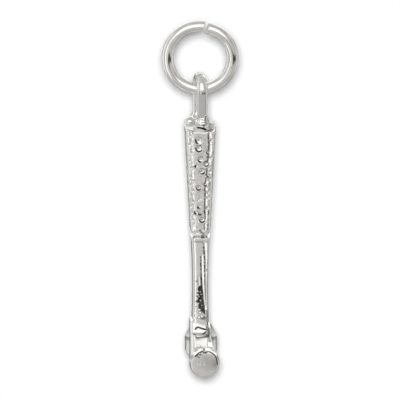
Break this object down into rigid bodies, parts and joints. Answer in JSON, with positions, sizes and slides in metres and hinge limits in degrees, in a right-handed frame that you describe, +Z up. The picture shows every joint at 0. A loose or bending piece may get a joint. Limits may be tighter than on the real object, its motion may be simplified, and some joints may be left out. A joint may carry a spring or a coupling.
{
  "type": "hammer pendant",
  "caption": "Small polished silver claw-hammer pendant, head down, with a dented faceted grip and a wire bail that swings on an open jump ring for a chain.",
  "frame": {"origin": "centre of the jump ring, where the chain passes", "axes": "+Z up along the handle towards the ring, striking face towards -Y, claws towards +Y, +X to the right when the striking face is seen"},
  "size_m": [0.006, 0.0098, 0.0279],
  "materials": {
    "ring_silver": "polished drawn sterling silver wire",
    "wire_silver": "polished sterling silver wire, hard soldered",
    "cast_silver": "polished cast sterling silver",
    "grip_silver": "tumbled cast sterling silver with punched dents",
    "head_silver": "polished cast sterling silver with a satin striking face"
  },
  "bodies": {
    "ring": {"jump_ring": "ring_silver"},
    "hammer": {"bail": "wire_silver", "end_cap": "cast_silver", "grip": "grip_silver", "shaft": "cast_silver", "head": "head_silver"}
  },
  "joints": [
    {"name": "hammer_swing", "type": "hinge", "parent": "ring", "child": "hammer", "pos_m": [0, 0, -0.00254], "axis": [1, 0, 0], "range_deg": [-150, 150]}
  ]
}
